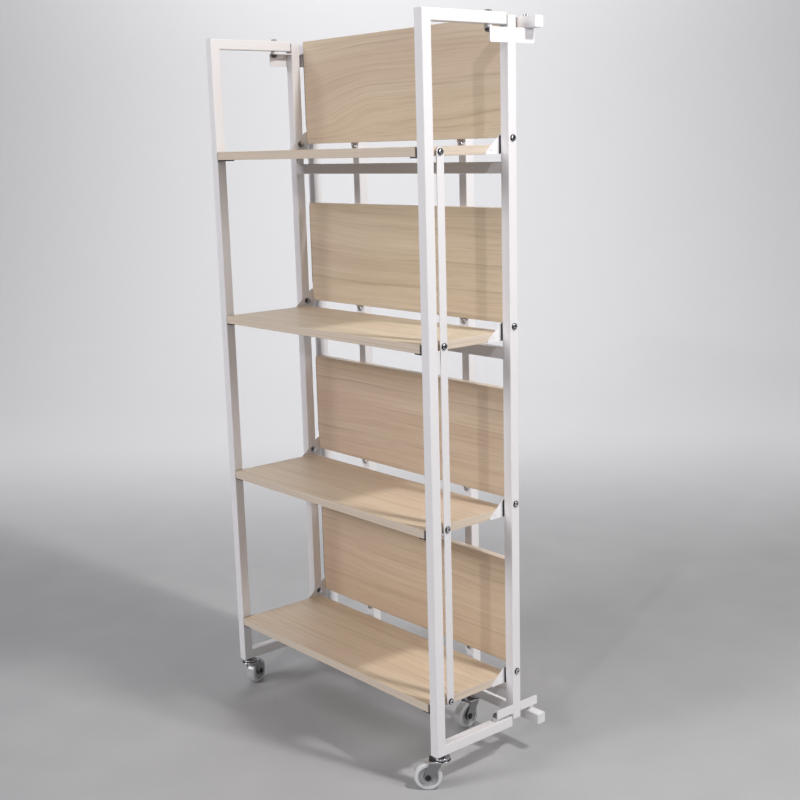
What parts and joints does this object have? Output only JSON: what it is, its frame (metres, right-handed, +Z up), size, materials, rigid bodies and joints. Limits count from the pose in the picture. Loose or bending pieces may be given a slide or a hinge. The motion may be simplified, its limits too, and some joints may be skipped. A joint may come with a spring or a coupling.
{
  "type": "folding shelf rack on casters",
  "caption": "Folding display rack on swivel casters: hinged white steel tube side frames, wood-print shelves that fold up together on a link bar, and matching back panels.",
  "frame": {"origin": "bottom centre of the overall box, on the floor", "axes": "+X to the right seen from the front, +Y to the back, +Z up"},
  "size_m": [0.655, 0.2762, 1.3042],
  "materials": {
    "white_paint": "satin powder coat",
    "wood_print": "matt wood-print laminate",
    "bright_bolt": "bright dome head",
    "black_coat": "black coat",
    "black_plastic": "plain black",
    "zinc": "zinc plate",
    "white_plastic": "satin",
    "chrome": "bright plate",
    "clear_wheel": "clear grey, glossy"
  },
  "bodies": {
    "back_frame": {"left_hinge_post": "white_paint", "right_hinge_post": "white_paint", "back_plugs": "white_plastic", "slide_pads": "black_plastic", "upper_rail": "white_paint", "middle_rail": "white_paint", "lower_rail": "white_paint", "top_brackets": "white_paint", "bottom_brackets": "white_paint", "left_rear_upright": "white_paint", "right_rear_upright": "white_paint", "left_rear_top_rail": "white_paint", "right_rear_top_rail": "white_paint", "left_rear_bottom_rail": "white_paint", "right_rear_bottom_rail": "white_paint", "left_rear_post": "white_paint", "panel_tabs": "white_paint", "panel_fixings": "zinc", "back_panel_1": "wood_print", "back_panel_2": "wood_print", "back_panel_3": "wood_print", "back_panel_4": "wood_print", "frame_pivot_bolts": "zinc", "rear_frame_bolts": "zinc", "spacers": "white_plastic", "shelf_pivot_bolts": "bright_bolt", "rear_caster_stems": "chrome"},
    "left_frame": {"left_front_post": "white_paint", "left_top_bar": "white_paint", "left_bottom_bar": "white_paint", "left_tail_plugs": "white_plastic", "left_shelf_rests": "black_coat", "left_caster_stem": "chrome"},
    "right_frame": {"right_front_post": "white_paint", "right_top_bar": "white_paint", "right_bottom_bar": "white_paint", "right_tail_plugs": "white_plastic", "right_shelf_rests": "black_coat", "right_caster_stem": "chrome"},
    "shelf_1": {"shelf_1_board": "wood_print", "shelf_1_end_plates": "white_paint", "shelf_1_link_bolt": "bright_bolt"},
    "shelf_2": {"shelf_2_board": "wood_print", "shelf_2_end_plates": "white_paint", "shelf_2_link_bolt": "bright_bolt"},
    "shelf_3": {"shelf_3_board": "wood_print", "shelf_3_end_plates": "white_paint", "shelf_3_link_bolt": "bright_bolt"},
    "shelf_4": {"shelf_4_board": "wood_print", "shelf_4_end_plates": "white_paint", "shelf_4_link_bolt": "bright_bolt"},
    "link": {"link_bar": "white_paint"},
    "front_right_fork": {"front_right_caster_fork": "chrome"},
    "front_right_wheel": {"front_right_caster_wheel": "clear_wheel"},
    "front_left_fork": {"front_left_caster_fork": "chrome"},
    "front_left_wheel": {"front_left_caster_wheel": "clear_wheel"},
    "rear_right_fork": {"rear_right_caster_fork": "chrome"},
    "rear_right_wheel": {"rear_right_caster_wheel": "clear_wheel"},
    "rear_left_fork": {"rear_left_caster_fork": "chrome"},
    "rear_left_wheel": {"rear_left_caster_wheel": "clear_wheel"}
  },
  "joints": [
    {"name": "left_frame_swing", "type": "hinge", "parent": "back_frame", "child": "left_frame", "pos_m": [-0.2975, 0.0355, 0.6825], "axis": [0, 0, -1], "range_deg": [0, 90]},
    {"name": "right_frame_swing", "type": "hinge", "parent": "back_frame", "child": "right_frame", "pos_m": [0.2975, 0.0355, 0.6825], "axis": [0, 0, 1], "range_deg": [0, 90]},
    {"name": "shelf_1_fold", "type": "hinge", "parent": "back_frame", "child": "shelf_1", "pos_m": [0, 0.0795, 1.104], "axis": [-1, 0, 0], "range_deg": [0, 90]},
    {"name": "shelf_2_fold", "type": "hinge", "parent": "back_frame", "child": "shelf_2", "pos_m": [0, 0.0795, 0.792], "axis": [-1, 0, 0], "range_deg": [0, 90]},
    {"name": "shelf_3_fold", "type": "hinge", "parent": "back_frame", "child": "shelf_3", "pos_m": [0, 0.0795, 0.48], "axis": [-1, 0, 0], "range_deg": [0, 90]},
    {"name": "shelf_4_fold", "type": "hinge", "parent": "back_frame", "child": "shelf_4", "pos_m": [0, 0.0795, 0.168], "axis": [-1, 0, 0], "range_deg": [0, 90]},
    {"name": "link_turn", "type": "hinge", "parent": "shelf_1", "child": "link", "pos_m": [0.2889, -0.0661, 1.0855], "axis": [-1, 0, 0], "range_deg": [-90, 0]},
    {"name": "front_right_swivel", "type": "hinge", "parent": "right_frame", "child": "front_right_fork", "pos_m": [0.2975, -0.0971, 0.054], "axis": [0, 0, 1], "continuous": true},
    {"name": "front_right_spin", "type": "hinge", "parent": "front_right_fork", "child": "front_right_wheel", "pos_m": [0.28144, -0.11493, 0.025], "axis": [0.7431, -0.6691, 0], "continuous": true},
    {"name": "front_left_swivel", "type": "hinge", "parent": "left_frame", "child": "front_left_fork", "pos_m": [-0.2975, -0.0971, 0.054], "axis": [0, 0, 1], "continuous": true},
    {"name": "front_left_spin", "type": "hinge", "parent": "front_left_fork", "child": "front_left_wheel", "pos_m": [-0.3084, -0.07572, 0.025], "axis": [-0.891, -0.454, 0], "continuous": true},
    {"name": "rear_right_swivel", "type": "hinge", "parent": "back_frame", "child": "rear_right_fork", "pos_m": [0.15, 0.1219, 0.054], "axis": [0, 0, 1], "continuous": true},
    {"name": "rear_right_spin", "type": "hinge", "parent": "rear_right_fork", "child": "rear_right_wheel", "pos_m": [0.15084, 0.09792, 0.025], "axis": [0.9994, 0.0349, 0], "continuous": true},
    {"name": "rear_left_swivel", "type": "hinge", "parent": "back_frame", "child": "rear_left_fork", "pos_m": [-0.15, 0.1219, 0.054], "axis": [0, 0, 1], "continuous": true},
    {"name": "rear_left_spin", "type": "hinge", "parent": "rear_left_fork", "child": "rear_left_wheel", "pos_m": [-0.15899, 0.09965, 0.025], "axis": [0.9272, -0.3746, 0], "continuous": true}
  ],
  "couplings": [
    {"joint": "shelf_2_fold", "follows": "shelf_1_fold", "ratio": 1},
    {"joint": "shelf_3_fold", "follows": "shelf_1_fold", "ratio": 1},
    {"joint": "shelf_4_fold", "follows": "shelf_1_fold", "ratio": 1},
    {"joint": "link_turn", "follows": "shelf_1_fold", "ratio": -1}
  ]
}
